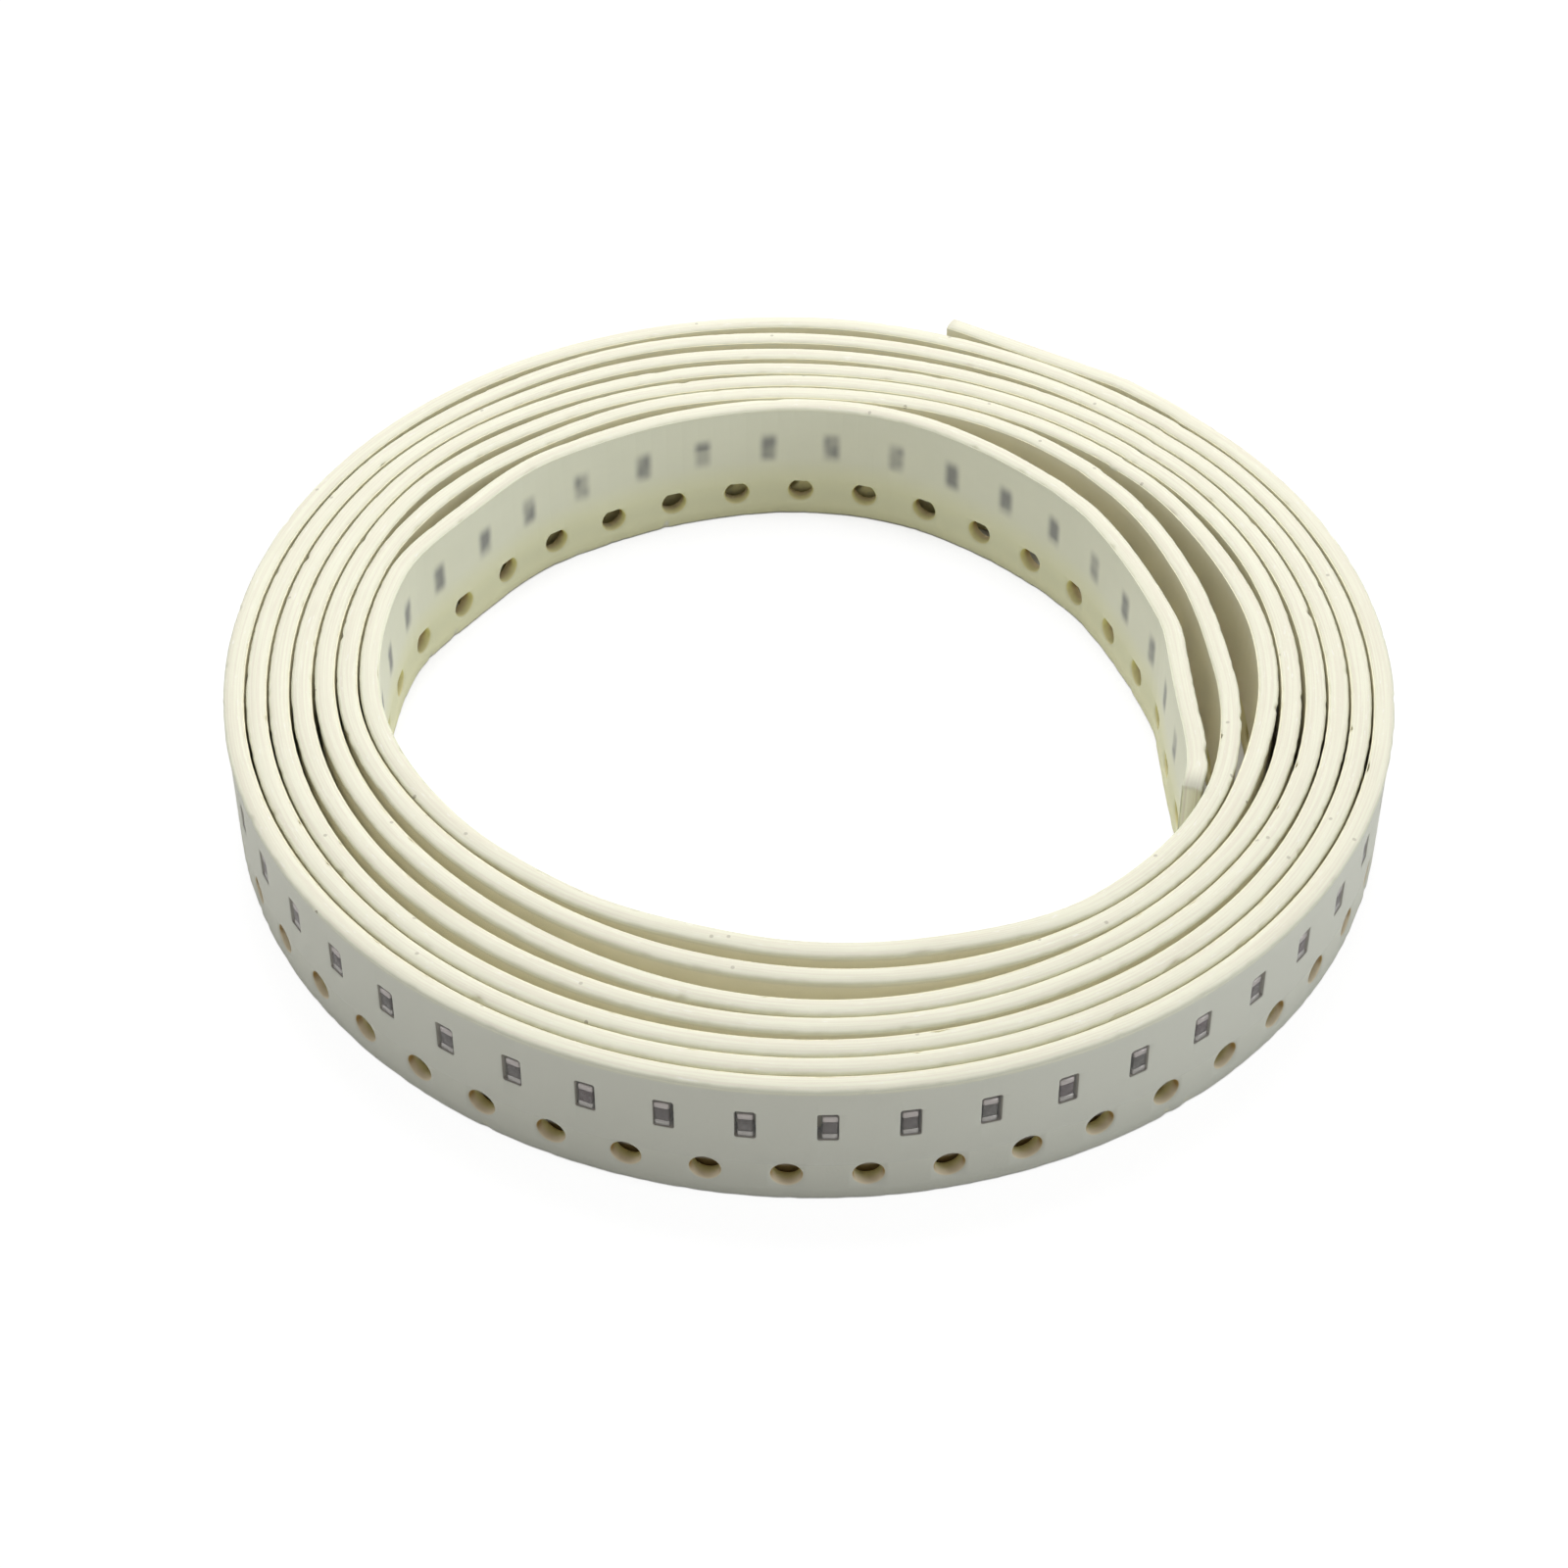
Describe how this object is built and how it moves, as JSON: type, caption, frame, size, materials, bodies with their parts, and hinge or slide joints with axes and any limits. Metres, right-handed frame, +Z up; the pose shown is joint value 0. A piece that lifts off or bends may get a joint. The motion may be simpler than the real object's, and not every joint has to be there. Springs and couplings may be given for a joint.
{
  "type": "smd tape reel",
  "caption": "Loose flat coil of punched 8 mm paper carrier tape filled with chip capacitors, sealed by a clear cover film, standing on its sprocket-hole edge.",
  "frame": {"origin": "on the surface that the coil stands on, below the middle of its bounding box", "axes": "+Z up, out of the face of the coil, across the tape; seen from above the tape winds clockwise from its outer end, which is towards +Y"},
  "size_m": [0.0638, 0.0644, 0.008],
  "materials": {
    "punched_paper": "matte",
    "clear_film": "gloss",
    "milky_film": "satin",
    "chip_ceramic": "satin",
    "tinned_ends": "satin"
  },
  "bodies": {
    "root": {"carrier_tape": "punched_paper", "cover_tape": "clear_film", "backing_tape": "milky_film", "chip_bodies": "chip_ceramic", "chip_terminals": "tinned_ends"}
  },
  "joints": []
}
